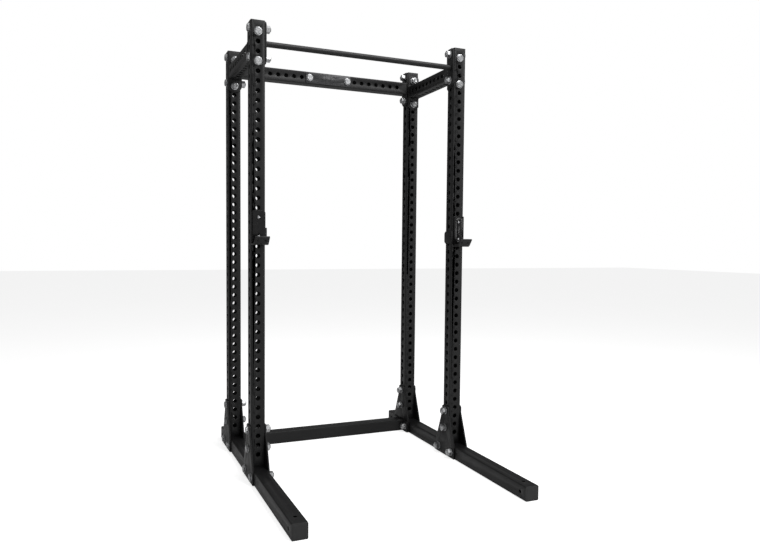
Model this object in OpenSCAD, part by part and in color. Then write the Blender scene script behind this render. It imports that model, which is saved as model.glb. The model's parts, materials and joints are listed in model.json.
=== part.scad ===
// Power cage: four drilled square uprights standing on two long base tubes,
// tied together by drilled crossmembers and a round pull-up bar, with a pair
// of lift-out cups that hold a barbell on the front uprights.
//
// Frame: X runs left to right, Y front to rear, Z up. The floor is Z = 0, the
// cage is centred on X = 0 and the base tubes are centred on Y = 0.

/* [Cage] */
// Overall height, from the floor to the top of the uprights
cage_h = 2400; // [2100:50:2400]
// Distance between the centres of the left and right uprights
width_centres = 1185; // [1135:50:1235]
// Distance between the centres of the front and rear uprights
depth_centres = 620; // [520:50:1020]
// Reach of the base tubes in front of the front uprights
front_reach = 780; // [400:20:900]
// Reach of the base tubes behind the rear uprights
rear_reach = 190; // [150:10:400]

/* [Square tube] */
// Outside size of every square tube
tube = 75; // [75:1:80]
// Wall thickness of the square tube
tube_wall = 3; // [2:0.5:4]
// Outside corner radius of the square tube
tube_corner = 6; // [5:0.5:9]

/* [Hole pattern] */
// Spacing of the holes along a tube
pitch = 50; // [50:1:52]
// Diameter of the holes
hole_d = 25; // [24.5:0.5:26]
// Distance from the top of an upright to its first front hole
first_front_hole = 57.5; // [55:0.5:60]
// Distance from the top of an upright to its first side hole
first_side_hole = 32.5; // [30:0.5:35]

/* [Plates] */
// Thickness of the flange plates on the crossmembers and the pull-up bar
flange_t = 8; // [6:1:10]
// Height of a flange plate
flange_h = 215; // [205:5:225]
// Corner chamfer of a flange plate
flange_chamfer = 15; // [5:1:20]
// Thickness of a gusset plate
gusset_t = 8; // [6:1:10]
// Half width of a gusset plate where it covers the base tube
gusset_half_w = 110; // [105:1:120]
// Distance from an upright's centre to the gusset bolts in the base tube
gusset_bolt_offset = 75; // [70:1:80]
// Length of the name plate
name_plate_w = 302; // [300:2:320]
// Height of the name plate
name_plate_h = 66; // [60:1:70]
// Thickness of the name plate
name_plate_t = 4; // [3:0.5:6]

/* [Pull-up bar] */
// Diameter of the pull-up bar
bar_d = 30; // [28:1:35]

/* [Fasteners] */
// Shank diameter of the frame bolts
bolt_d = 24; // [20:1:24]
// Width of a bolt head or nut across its flats
hex_w = 36; // [32:1:36]
// Height of a bolt head
head_h = 9; // [8:1:16]
// Height of a nut
nut_h = 22; // [18:1:24]
// Diameter of a washer
washer_d = 44; // [40:1:46]
// Thickness of a washer
washer_t = 3; // [3:0.5:5]

/* [Cups] */
// Front hole that takes a cup's pin, counted down from the top hole, which is 0
cup_hole = 19; // [4:1:34]
// Diameter of a cup's pin
cup_pin_d = 24; // [23:0.1:24]
// Thickness of the cup's bent steel plate
cup_plate_t = 8; // [6:1:8]
// Depth of the cup, from the upright to the front of its floor
cup_depth = 74; // [70:1:90]
// Forward lean of the cup's lip, measured at the top of the lip
lip_lean = 33; // [10:1:40]

/* [Hidden] */

// Facets of a drawn circle, and a cut's overshoot past the face that it opens
round_fn = 48;
over = 1;

// Colours
black_coat = [0.07, 0.07, 0.075];
zinc = [0.78, 0.79, 0.81];
black_plastic = [0.04, 0.04, 0.042];
dark_steel = [0.2, 0.2, 0.21];

// Sides of the cage, as the sign of X
left = -1;
right = 1;

// Main planes
post_x = width_centres / 2;
inner_x = post_x - tube / 2;
outer_x = post_x + tube / 2;
base_len = front_reach + tube + depth_centres + rear_reach;
front_y = -base_len / 2 + front_reach + tube / 2;
rear_y = front_y + depth_centres;

// Uprights: plain length left at the bottom of a row, cap sizes
row_end = 40;
cap_t = 2.5;
cap_plug = 22;
cap_wall = 2.5;
cap_gap = 0.2;
front_holes = floor((cage_h - first_front_hole - tube - row_end) / pitch) + 1;
side_holes = floor((cage_h - first_side_hole - tube - row_end) / pitch) + 1;

function front_hole_z(n) = cage_h - first_front_hole - n * pitch;
function side_hole_z(n) = cage_h - first_side_hole - n * pitch;

// A flange plate spans three pitches of holes, and its tube sits midway
flange_span = 3;
side_member_z = front_hole_z(flange_span / 2);
cross_member_z = side_hole_z(flange_span / 2);
side_member_len = depth_centres - tube;
cross_member_len = width_centres - tube;
side_member_holes = 9;
cross_member_holes = 20;

// Base tubes: end caps and the small holes near each end
foot_cap_t = 5;
foot_hole_d = 18;
foot_side_hole = 52;
foot_top_hole = 77;

// Gussets: the side holes that they use, counted up from the lowest one
gusset_low_bolt = 1;
gusset_high_bolt = 3;
gusset_above_bolt = 30;
gusset_straight = 40;
gusset_floor_gap = 2;
gusset_chamfer = 8;

// Name plate: its two bolts, and the raised bar shown on it
name_bolt_x = 125;
name_corner = 8;
relief_t = 1.5;
relief_bar_w = 96;
relief_bar_h = 7;
relief_disc_h = 44;
relief_disc_w = 8;
relief_disc_gap = 15;

// Bolts: clearance of a nut's bore, and the thread left past the nut
thread_gap = 0.1;
bolt_tip = 5;

// Cups, measured from the pin's axis and the upright's front face
cup_w = tube;
cup_top = 35;
cup_floor = -144;
cup_seat_gap = 0.3;
cup_corner = 14;
cup_hinge_gap = 0.05;
cup_pin_past = 5;
cup_pin_chamfer = 3;
cup_second_screw = 2 * pitch;
lip_h = 40;
cheek_top = -54;
cheek_bottom = -126;
cheek_chamfer = 12;
cheek_gap = 0.5;
liner_w = 64;
liner_t = 10;
liner_drop = 2;
rest_liner_t = 8;
cup_screw_d = 10;
cup_screw_head_d = 16;
cup_screw_head_h = 5;
screw_recess = 6;
screw_recess_d = 18;
pin_screw_depth = 20;
lip_screw_d = 6;
lip_screw_head_d = 11;
lip_screw_head_h = 3.5;
lip_screw_gap = 38;

// Directions in which a bolt or a screw can point
along_x = [0, 90, 0];
against_x = [0, -90, 0];
along_y = [-90, 0, 0];
against_y = [90, 0, 0];

function inward(side) = side == left ? along_x : against_x;

// ---------------------------------------------------------------- sections

// Rectangle and square with round corners, centred on the origin
module rounded_rect(w, h, r) {
    square([w - 2 * r, h], center = true);
    square([w, h - 2 * r], center = true);
    for (x = [-1, 1], y = [-1, 1])
        translate([x * (w / 2 - r), y * (h / 2 - r)])
            circle(r = r, $fn = round_fn);
}

module rounded_square(size, r) {
    rounded_rect(size, size, r);
}

// Cross-section of the square tube
module tube_section() {
    difference() {
        rounded_square(tube, tube_corner);
        rounded_square(tube - 2 * tube_wall, tube_corner - tube_wall);
    }
}

// Drill right through a tube, along X, Y or Z
module drill_x(d) {
    rotate([0, 90, 0])
        cylinder(h = tube + 2 * over, d = d, center = true, $fn = round_fn);
}

module drill_y(d) {
    rotate([90, 0, 0])
        cylinder(h = tube + 2 * over, d = d, center = true, $fn = round_fn);
}

module drill_z(d) {
    cylinder(h = tube + 2 * over, d = d, center = true, $fn = round_fn);
}

// ---------------------------------------------------------------- uprights

// One upright, with holes front to rear and side to side
module upright(side, y) {
    color(black_coat)
        translate([side * post_x, y, 0])
            difference() {
                translate([0, 0, tube])
                    linear_extrude(cage_h - cap_t - tube)
                        tube_section();
                for (n = [0 : front_holes - 1])
                    translate([0, 0, front_hole_z(n)])
                        drill_y(hole_d);
                for (n = [0 : side_holes - 1])
                    translate([0, 0, side_hole_z(n)])
                        drill_x(hole_d);
            }
}

// Push-in cap: a cover plate with a hollow plug below it, drawn along +Z
module tube_cap(cover_t) {
    linear_extrude(cover_t)
        rounded_square(tube, tube_corner);
    translate([0, 0, -cap_plug])
        linear_extrude(cap_plug)
            difference() {
                rounded_square(tube - 2 * (tube_wall + cap_gap), tube_corner - tube_wall);
                square(tube - 2 * (tube_wall + cap_gap + cap_wall), center = true);
            }
}

// Cap in the top of an upright, its plug clear of the first side hole's bolt
module top_cap(side, y) {
    color(black_plastic)
        translate([side * post_x, y, cage_h - cap_t])
            difference() {
                tube_cap(cap_t);
                translate([0, 0, cap_t - first_side_hole])
                    drill_x(hole_d);
            }
}

// ---------------------------------------------------------------- base

// Base tube, with gusset bolt holes at both uprights and small holes at its ends
module base_tube(side) {
    color(black_coat)
        translate([side * post_x, 0, tube / 2])
            difference() {
                translate([0, base_len / 2 - foot_cap_t, 0])
                    rotate([90, 0, 0])
                        linear_extrude(base_len - 2 * foot_cap_t)
                            tube_section();
                for (y = [front_y, rear_y], end = [-1, 1])
                    translate([0, y + end * gusset_bolt_offset, 0])
                        drill_x(hole_d);
                for (end = [-1, 1]) {
                    translate([0, end * (base_len / 2 - foot_side_hole), 0])
                        drill_x(foot_hole_d);
                    translate([0, end * (base_len / 2 - foot_top_hole), 0])
                        drill_z(foot_hole_d);
                }
            }
}

// Cap in an end of a base tube; end is -1 at the front and 1 at the rear
module foot_cap(side, end) {
    color(black_plastic)
        translate([side * post_x, end * (base_len / 2 - foot_cap_t), tube / 2])
            rotate(end == 1 ? along_y : against_y)
                tube_cap(foot_cap_t);
}

// Gusset plate on one face of an upright; face is 1 outside and -1 inside
module gusset(side, y, face) {
    top = side_hole_z(side_holes - 1 - gusset_high_bolt) + gusset_above_bolt;
    half = [
        [tube / 2 - gusset_chamfer, top],
        [tube / 2, top - gusset_chamfer],
        [tube / 2, top - gusset_straight],
        [gusset_half_w, tube],
        [gusset_half_w, gusset_floor_gap]
    ];
    mirrored = [for (n = [len(half) - 1 : -1 : 0]) [-half[n][0], half[n][1]]];
    plate_x = side * (face == 1 ? outer_x + gusset_t / 2 : inner_x - gusset_t / 2);
    color(black_coat)
        translate([plate_x, y, 0])
            difference() {
                rotate([90, 0, 90])
                    linear_extrude(gusset_t, center = true)
                        polygon(concat(half, mirrored));
                for (n = [gusset_low_bolt, gusset_high_bolt])
                    translate([0, 0, side_hole_z(side_holes - 1 - n)])
                        drill_x(hole_d);
                for (end = [-1, 1])
                    translate([0, end * gusset_bolt_offset, tube / 2])
                        drill_x(hole_d);
            }
}

// ---------------------------------------------------------------- crossmembers

// Flange plate in the XY plane with its long side along X, drawn along +Z
module flange() {
    w = tube;
    c = flange_chamfer;
    difference() {
        linear_extrude(flange_t)
            polygon([
                [-flange_h / 2 + c, -w / 2], [flange_h / 2 - c, -w / 2],
                [flange_h / 2, -w / 2 + c], [flange_h / 2, w / 2 - c],
                [flange_h / 2 - c, w / 2], [-flange_h / 2 + c, w / 2],
                [-flange_h / 2, w / 2 - c], [-flange_h / 2, -w / 2 + c]
            ]);
        for (end = [-1, 1])
            translate([end * flange_span * pitch / 2, 0, -over])
                cylinder(h = flange_t + 2 * over, d = hole_d, $fn = round_fn);
    }
}

// Pair of upright flanges at the ends of a member that lies along X
module end_flanges(len) {
    for (end = [-1, 1])
        translate([end * (len / 2 - flange_t / 2), 0, 0])
            rotate([0, 90, 0])
                translate([0, 0, -flange_t / 2])
                    flange();
}

// Flanged square crossmember along X. Rows of holes run through it, through_y
// of them along Y and through_z of them along Z.
module crossmember(len, through_y, through_z) {
    difference() {
        rotate([90, 0, 90])
            linear_extrude(len - flange_t, center = true)
                tube_section();
        if (through_y > 0)
            for (n = [0 : through_y - 1])
                translate([(n - (through_y - 1) / 2) * pitch, 0, 0])
                    drill_y(hole_d);
        if (through_z > 0)
            for (n = [0 : through_z - 1])
                translate([(n - (through_z - 1) / 2) * pitch, 0, 0])
                    drill_z(hole_d);
    }
    end_flanges(len);
}

module rear_top_crossmember() {
    color(black_coat)
        translate([0, rear_y, cross_member_z])
            crossmember(cross_member_len, cross_member_holes, 0);
}

module side_top_crossmember(side) {
    color(black_coat)
        translate([side * post_x, (front_y + rear_y) / 2, side_member_z])
            rotate([0, 0, 90])
                crossmember(side_member_len, side_member_holes, side_member_holes - 1);
}

// Plain tube on the floor between the rear gussets, with a wide flange at each end
module rear_base_crossmember() {
    len = cross_member_len - 2 * gusset_t;
    base_flange_h = tube - 2 * gusset_floor_gap;
    color(black_coat)
        translate([0, rear_y, tube / 2]) {
            rotate([90, 0, 90])
                linear_extrude(len - flange_t, center = true)
                    tube_section();
            for (end = [-1, 1])
                translate([end * (len / 2 - flange_t / 2), 0, 0])
                    difference() {
                        cube([flange_t, 2 * gusset_half_w, base_flange_h], center = true);
                        for (bolt = [-1, 1])
                            translate([0, bolt * gusset_bolt_offset, 0])
                                drill_x(hole_d);
                    }
        }
}

// Round bar between the front uprights, with a flange at each end
module pull_up_bar() {
    color(black_coat)
        translate([0, front_y, cross_member_z]) {
            rotate([0, 90, 0])
                cylinder(h = cross_member_len - flange_t, d = bar_d, center = true, $fn = round_fn);
            end_flanges(cross_member_len);
        }
}

// Plate on the front of the rear top crossmember, with a plain raised barbell
module name_plate() {
    color(dark_steel)
        translate([0, rear_y - tube / 2 - name_plate_t / 2, cross_member_z]) {
            difference() {
                rotate([90, 0, 0])
                    linear_extrude(name_plate_t, center = true)
                        rounded_rect(name_plate_w, name_plate_h, name_corner);
                for (end = [-1, 1])
                    translate([end * name_bolt_x, 0, 0])
                        drill_y(hole_d);
            }
            translate([0, -(name_plate_t + relief_t) / 2, 0]) {
                cube([relief_bar_w, relief_t, relief_bar_h], center = true);
                for (end = [-1, 1], n = [0, 1])
                    translate([end * (relief_bar_w / 2 - relief_disc_gap * (2 - n)), 0, 0])
                        cube([relief_disc_w, relief_t, relief_disc_h - n * relief_disc_gap], center = true);
            }
        }
}

// ---------------------------------------------------------------- fasteners

// A place is [the point where a bolt enters, its direction, the clamped thickness]
function pull_up_bar_places() = [
    for (side = [left, right], n = [0, flange_span])
        [[side * outer_x, front_y, side_hole_z(n)], inward(side), tube + flange_t]
];
function rear_crossmember_places() = [
    for (side = [left, right], n = [0, flange_span])
        [[side * outer_x, rear_y, side_hole_z(n)], inward(side), tube + flange_t]
];
function side_crossmember_places() = [
    for (side = [left, right], n = [0, flange_span], end = [-1, 1])
        [
            [side * post_x, (end == -1 ? front_y : rear_y) + end * tube / 2, front_hole_z(n)],
            end == -1 ? along_y : against_y,
            tube + flange_t
        ]
];
function name_plate_places() = [
    for (end = [-1, 1])
        [
            [end * name_bolt_x, rear_y - tube / 2 - name_plate_t, cross_member_z],
            along_y,
            tube + name_plate_t
        ]
];
function gusset_post_places(side) = [
    for (y = [front_y, rear_y], n = [gusset_low_bolt, gusset_high_bolt])
        [
            [side * (outer_x + gusset_t), y, side_hole_z(side_holes - 1 - n)],
            inward(side),
            tube + 2 * gusset_t
        ]
];
function gusset_base_places(side) = [
    for (y = [front_y, rear_y], end = [-1, 1])
        [
            [side * (outer_x + gusset_t), y + end * gusset_bolt_offset, tube / 2],
            inward(side),
            tube + 2 * gusset_t + (y == rear_y ? flange_t : 0)
        ]
];
function gusset_places(side) = concat(gusset_post_places(side), gusset_base_places(side));

// Hexagonal prism with flats hex_w apart, drawn along +Z
module hex_prism(h) {
    cylinder(h = h, d = hex_w / cos(30), $fn = 6);
}

// Hex bolts: the head sits on its washer, and the shank ends just past the nut
module bolts(places) {
    color(zinc)
        for (p = places)
            translate(p[0])
                rotate(p[1]) {
                    translate([0, 0, -washer_t - head_h])
                        hex_prism(head_h);
                    translate([0, 0, -washer_t])
                        cylinder(h = p[2] + 2 * washer_t + nut_h + bolt_tip, d = bolt_d, $fn = round_fn);
                }
}

// Two washers for each bolt, one under its head and one under its nut
module washers(places) {
    color(zinc)
        for (p = places)
            translate(p[0])
                rotate(p[1])
                    for (z = [-washer_t, p[2]])
                        translate([0, 0, z])
                            difference() {
                                cylinder(h = washer_t, d = washer_d, $fn = round_fn);
                                translate([0, 0, -over])
                                    cylinder(h = washer_t + 2 * over, d = hole_d, $fn = round_fn);
                            }
}

// Nuts on the far side of each bolt
module nuts(places) {
    color(zinc)
        for (p = places)
            translate(p[0])
                rotate(p[1])
                    translate([0, 0, p[2] + washer_t])
                        difference() {
                            hex_prism(nut_h);
                            translate([0, 0, -over])
                                cylinder(h = nut_h + 2 * over, d = bolt_d + 2 * thread_gap, $fn = round_fn);
                        }
}

// ---------------------------------------------------------------- cups

// Everything below is drawn for the left cup, at the origin: the pin's axis is
// along Y, the upright's front face is y = 0, and the inside of the cage is +x.
module at_cup(side) {
    translate([side * post_x, front_y - tube / 2, front_hole_z(cup_hole)])
        mirror([side == left ? 0 : 1, 0, 0])
            children();
}

// Cylinder along +Y that starts at y
module rod_y(y, len, d) {
    translate([0, y, 0])
        rotate([-90, 0, 0])
            cylinder(h = len, d = d, $fn = round_fn);
}

// Button-headed screw that points along +Y; y is the face under its head
module screw(y, len, d, head_d, head_h) {
    rod_y(y, len, d);
    rod_y(y - head_h, head_h, head_d);
}

// Pin that passes through both walls of the upright, tapped for its screw
module cup_pin(side) {
    start = -cup_seat_gap - cup_plate_t;
    end = tube + cup_pin_past;
    color(zinc)
        at_cup(side)
            difference() {
                union() {
                    rod_y(start, end - cup_pin_chamfer - start, cup_pin_d);
                    translate([0, end - cup_pin_chamfer, 0])
                        rotate([-90, 0, 0])
                            cylinder(
                                h = cup_pin_chamfer, d1 = cup_pin_d,
                                d2 = cup_pin_d - 2 * cup_pin_chamfer, $fn = round_fn
                            );
                }
                rod_y(start - over, pin_screw_depth + over, cup_screw_d + 2 * thread_gap);
            }
}

// Screw that goes through the back liner into the pin, its head sunk in the liner
module cup_pin_screw(side) {
    seat = -cup_seat_gap - cup_plate_t - liner_t + screw_recess;
    len = liner_t - screw_recess + pin_screw_depth - over;
    color(zinc)
        at_cup(side)
            screw(seat, len, cup_screw_d, cup_screw_head_d, cup_screw_head_h);
}

// Side view of the bent plate: back, floor and leaning lip, as [y, z] points
module cup_profile() {
    back = -cup_seat_gap;
    front = back - cup_depth;
    lean = atan(lip_lean / lip_h);
    inner_front = front + cup_plate_t * tan(45 - lean / 2);
    polygon([
        [back, cup_top],
        [back, cup_floor],
        [front, cup_floor],
        [front - lip_lean, cup_floor + lip_h],
        [front - lip_lean + cup_plate_t * cos(lean), cup_floor + lip_h + cup_plate_t * sin(lean)],
        [inner_front, cup_floor + cup_plate_t],
        [back - cup_plate_t, cup_floor + cup_plate_t],
        [back - cup_plate_t, cup_top]
    ]);
}

// Bent plate with rounded top corners, and the cheek on the cage's inner side
module cup_bracket(side) {
    cheek_x = tube / 2 + cheek_gap;
    bend_w = cheek_x - cup_w / 2 + 2 * cup_plate_t;
    back = -cup_seat_gap;
    color(black_coat)
        at_cup(side)
            difference() {
                union() {
                    intersection() {
                        rotate([90, 0, 90])
                            linear_extrude(cup_w, center = true)
                                cup_profile();
                        rotate([90, 0, 0])
                            linear_extrude(4 * cup_depth, center = true)
                                cup_front_outline();
                    }
                    translate([cup_w / 2 - cup_plate_t, back - cup_plate_t, cheek_bottom])
                        cube([bend_w, cup_plate_t, cheek_top - cheek_bottom]);
                    translate([cheek_x, 0, 0])
                        rotate([90, 0, 90])
                            linear_extrude(cup_plate_t)
                                cheek_outline();
                }
                rod_y(back - cup_plate_t - over, cup_plate_t + 2 * over, cup_pin_d + 2 * cup_hinge_gap);
                translate([0, 0, -cup_second_screw])
                    rod_y(back - cup_plate_t - over, cup_plate_t + 2 * over, cup_screw_d + 2 * thread_gap);
                for (end = [-1, 1])
                    translate([end * lip_screw_gap / 2, 0, 0])
                        at_lip()
                            rod_y(-over, cup_plate_t + 2 * over, lip_screw_d + 2 * thread_gap);
            }
}

// Front view of the bracket, with its two top corners rounded
module cup_front_outline() {
    r = cup_corner;
    translate([-cup_w / 2, cup_floor])
        square([cup_w, cup_top - cup_floor - r]);
    translate([-cup_w / 2 + r, cup_floor])
        square([cup_w - 2 * r, cup_top - cup_floor]);
    for (s = [-1, 1])
        translate([s * (cup_w / 2 - r), cup_top - r])
            circle(r = r, $fn = round_fn);
}

// Side view of the cheek, which runs along the upright's inner face
module cheek_outline() {
    front = -cup_seat_gap - cup_plate_t;
    polygon([
        [front, cheek_bottom],
        [tube - cheek_chamfer, cheek_bottom],
        [tube, cheek_bottom + cheek_chamfer],
        [tube, cheek_top - cheek_chamfer],
        [tube - cheek_chamfer, cheek_top],
        [front, cheek_top]
    ]);
}

// Move to the middle of the lip's outer face, with +Y square into the lip
module at_lip() {
    lean = atan(lip_lean / lip_h);
    translate([0, -cup_seat_gap - cup_depth - lip_lean / 2, cup_floor + lip_h / 2])
        rotate([lean, 0, 0])
            children();
}

// Plastic sheet on the cup's back plate
module cup_back_liner(side) {
    top = cup_top - liner_drop;
    bottom = cup_floor + cup_plate_t + rest_liner_t;
    face = -cup_seat_gap - cup_plate_t - liner_t;
    color(black_plastic)
        at_cup(side)
            difference() {
                translate([-liner_w / 2, face, bottom])
                    cube([liner_w, liner_t, top - bottom]);
                for (z = [0, -cup_second_screw])
                    translate([0, 0, z]) {
                        rod_y(face - over, liner_t + 2 * over, cup_screw_d + 2 * thread_gap);
                        rod_y(face - over, screw_recess + over, screw_recess_d);
                    }
            }
}

// Plastic sheet on the cup's floor and lip
module cup_rest_liner(side) {
    lean = atan(lip_lean / lip_h);
    back = -cup_seat_gap - cup_plate_t;
    front = -cup_seat_gap - cup_depth;
    floor_z = cup_floor + cup_plate_t;
    bend = tan(45 - lean / 2);
    steel_y = front + cup_plate_t * bend;
    liner_y = steel_y + rest_liner_t * bend;
    rise = lip_h - cup_plate_t - liner_drop;
    lip_y = steel_y - rise * tan(lean);
    color(black_plastic)
        at_cup(side)
            difference() {
                rotate([90, 0, 90])
                    linear_extrude(liner_w, center = true)
                        polygon([
                            [back, floor_z],
                            [steel_y, floor_z],
                            [lip_y, floor_z + rise],
                            [lip_y + rest_liner_t * cos(lean), floor_z + rise + rest_liner_t * sin(lean)],
                            [liner_y, floor_z + rest_liner_t],
                            [back, floor_z + rest_liner_t]
                        ]);
                for (end = [-1, 1])
                    translate([end * lip_screw_gap / 2, 0, 0])
                        at_lip()
                            rod_y(0, cup_plate_t + rest_liner_t / 2, lip_screw_d + 2 * thread_gap);
            }
}

// The lower back screw and the two small screws in the lip
module cup_screws(side) {
    seat = -cup_seat_gap - cup_plate_t - liner_t + screw_recess;
    back_len = liner_t - screw_recess + cup_plate_t - over;
    lip_len = cup_plate_t + rest_liner_t / 2 - over;
    color(zinc)
        at_cup(side) {
            translate([0, 0, -cup_second_screw])
                screw(seat, back_len, cup_screw_d, cup_screw_head_d, cup_screw_head_h);
            for (end = [-1, 1])
                translate([end * lip_screw_gap / 2, 0, 0])
                    at_lip()
                        screw(0, lip_len, lip_screw_d, lip_screw_head_d, lip_screw_head_h);
        }
}

upright(left, front_y);  // front_left_upright
upright(right, front_y);  // front_right_upright
upright(left, rear_y);  // rear_left_upright
upright(right, rear_y);  // rear_right_upright
top_cap(left, front_y);  // front_left_top_cap
top_cap(right, front_y);  // front_right_top_cap
top_cap(left, rear_y);  // rear_left_top_cap
top_cap(right, rear_y);  // rear_right_top_cap
base_tube(left);  // left_base_tube
base_tube(right);  // right_base_tube
foot_cap(left, -1);  // left_front_foot_cap
foot_cap(right, -1);  // right_front_foot_cap
foot_cap(left, 1);  // left_rear_foot_cap
foot_cap(right, 1);  // right_rear_foot_cap
gusset(left, front_y, 1);  // front_left_outer_gusset
gusset(left, front_y, -1);  // front_left_inner_gusset
gusset(right, front_y, 1);  // front_right_outer_gusset
gusset(right, front_y, -1);  // front_right_inner_gusset
gusset(left, rear_y, 1);  // rear_left_outer_gusset
gusset(left, rear_y, -1);  // rear_left_inner_gusset
gusset(right, rear_y, 1);  // rear_right_outer_gusset
gusset(right, rear_y, -1);  // rear_right_inner_gusset
bolts(gusset_places(left));  // left_gusset_bolts
washers(gusset_places(left));  // left_gusset_washers
nuts(gusset_places(left));  // left_gusset_nuts
bolts(gusset_places(right));  // right_gusset_bolts
washers(gusset_places(right));  // right_gusset_washers
nuts(gusset_places(right));  // right_gusset_nuts
rear_base_crossmember();
rear_top_crossmember();
side_top_crossmember(left);  // left_top_crossmember
side_top_crossmember(right);  // right_top_crossmember
bolts(side_crossmember_places());  // side_crossmember_bolts
washers(side_crossmember_places());  // side_crossmember_washers
nuts(side_crossmember_places());  // side_crossmember_nuts
bolts(rear_crossmember_places());  // rear_crossmember_bolts
washers(rear_crossmember_places());  // rear_crossmember_washers
nuts(rear_crossmember_places());  // rear_crossmember_nuts
pull_up_bar();
bolts(pull_up_bar_places());  // pull_up_bar_bolts
washers(pull_up_bar_places());  // pull_up_bar_washers
nuts(pull_up_bar_places());  // pull_up_bar_nuts
name_plate();
bolts(name_plate_places());  // name_plate_bolts
washers(name_plate_places());  // name_plate_washers
nuts(name_plate_places());  // name_plate_nuts
cup_pin(left);  // left_cup_pin
cup_pin_screw(left);  // left_cup_pin_screw
cup_bracket(left);  // left_cup_bracket
cup_back_liner(left);  // left_cup_back_liner
cup_rest_liner(left);  // left_cup_rest_liner
cup_screws(left);  // left_cup_screws
cup_pin(right);  // right_cup_pin
cup_pin_screw(right);  // right_cup_pin_screw
cup_bracket(right);  // right_cup_bracket
cup_back_liner(right);  // right_cup_back_liner
cup_rest_liner(right);  // right_cup_rest_liner
cup_screws(right);  // right_cup_screws
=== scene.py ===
"""Looks of a power cage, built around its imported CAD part.

Lengths are in metres and in the part's own frame: X to the right, Y to the rear, Z up.
Every welded or moulded piece starts from a merged copy of its CAD node, and every
fastener is turned and cut here and then put where the CAD has it.
"""

import json
import logging
import math
import random
from collections.abc import Callable, Iterable, Iterator
from contextlib import contextmanager
from dataclasses import dataclass, field
from enum import Enum

import bpy
from mathutils import Matrix, Vector

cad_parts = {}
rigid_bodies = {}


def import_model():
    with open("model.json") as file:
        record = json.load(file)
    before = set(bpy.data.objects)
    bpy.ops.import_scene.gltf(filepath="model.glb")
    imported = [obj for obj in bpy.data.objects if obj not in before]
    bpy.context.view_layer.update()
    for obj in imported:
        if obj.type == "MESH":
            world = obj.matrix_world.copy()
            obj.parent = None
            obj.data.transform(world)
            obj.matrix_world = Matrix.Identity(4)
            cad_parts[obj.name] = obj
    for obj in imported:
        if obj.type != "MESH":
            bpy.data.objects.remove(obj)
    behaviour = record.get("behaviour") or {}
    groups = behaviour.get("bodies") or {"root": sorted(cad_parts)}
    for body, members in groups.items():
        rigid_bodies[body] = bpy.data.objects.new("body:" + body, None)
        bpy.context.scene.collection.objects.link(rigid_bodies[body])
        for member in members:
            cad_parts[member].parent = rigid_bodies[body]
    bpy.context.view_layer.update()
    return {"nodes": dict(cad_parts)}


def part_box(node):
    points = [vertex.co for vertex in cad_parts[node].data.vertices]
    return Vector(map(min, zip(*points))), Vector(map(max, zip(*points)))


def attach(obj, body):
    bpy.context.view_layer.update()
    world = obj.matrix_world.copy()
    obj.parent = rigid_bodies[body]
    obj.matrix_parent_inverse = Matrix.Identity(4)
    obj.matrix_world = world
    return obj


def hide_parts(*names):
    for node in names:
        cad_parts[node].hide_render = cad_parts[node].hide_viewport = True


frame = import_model()

LOG = logging.getLogger("power_cage")

MM = 0.001
TUBE = 75 * MM
PITCH = 50 * MM
WELD_LIMIT = 0.002 * MM
FLAT_LIMIT = math.radians(0.8)
SHARP = 40.0
FACING = 0.9
HEX_HALF = math.radians(30)
CAGE = "cage"


class Slot(Enum):
    """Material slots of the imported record."""

    COAT = "powder_coat"
    ZINC = "zinc_plate"
    CAP = "cap_plastic"
    LINER = "liner_plastic"
    PLATE = "name_plate_steel"


class Element(Enum):
    """Kinds of mesh element that can be picked, as edit mode's three flags."""

    VERTEX = (True, False, False)
    EDGE = (False, True, False)
    FACE = (False, False, True)


class Side(Enum):
    """Sides of the cage, as the sign of X."""

    LEFT = -1
    RIGHT = 1

    @property
    def word(self) -> str:
        """The side's name in the CAD nodes."""
        return self.name.lower()


# ------------------------------------------------------------------ bench work


def activate(piece: bpy.types.Object) -> None:
    """Select one object alone and make it active.

    Args:
        piece: The object to work on.
    """
    bpy.ops.object.select_all(action="DESELECT")
    piece.select_set(True)
    bpy.context.view_layer.objects.active = piece


@contextmanager
def editing(piece: bpy.types.Object, kind: Element = Element.VERTEX) -> Iterator[None]:
    """Put a piece in edit mode for the length of a with block.

    Args:
        piece: The mesh object to edit.
        kind: The kind of element that is selected in the block.

    Yields:
        Once, with the piece in edit mode.
    """
    activate(piece)
    bpy.context.tool_settings.mesh_select_mode = kind.value
    bpy.ops.object.mode_set(mode="EDIT")
    yield
    bpy.ops.object.mode_set(mode="OBJECT")


def pick(piece: bpy.types.Object, kind: Element, test: Callable[..., bool]) -> int:
    """Select the elements of a mesh that pass a test, and no others.

    Args:
        piece: The mesh object, in object mode.
        kind: Which elements to look at.
        test: Called with a vertex's place, an edge's two ends, or a face's centre and normal.

    Returns:
        How many elements passed.
    """
    mesh = piece.data
    for group in (mesh.vertices, mesh.edges, mesh.polygons):
        group.foreach_set("select", [False] * len(group))
    found = 0
    if kind is Element.VERTEX:
        for vertex in mesh.vertices:
            vertex.select = test(vertex.co)
            found += vertex.select
    elif kind is Element.EDGE:
        for edge in mesh.edges:
            edge.select = test(*(mesh.vertices[n].co for n in edge.vertices))
            found += edge.select
    else:
        for face in mesh.polygons:
            face.select = test(face.center, face.normal)
            found += face.select
    return found


def apply_modifier(piece: bpy.types.Object, kind: str, **settings: object) -> None:
    """Add a modifier, set it up and apply it.

    Args:
        piece: The mesh object.
        kind: The modifier's type.
        settings: Values for the modifier's own settings.
    """
    activate(piece)
    modifier = piece.modifiers.new(kind.lower(), kind)
    for name, value in settings.items():
        setattr(modifier, name, value)
    bpy.ops.object.modifier_apply(modifier=modifier.name)


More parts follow.
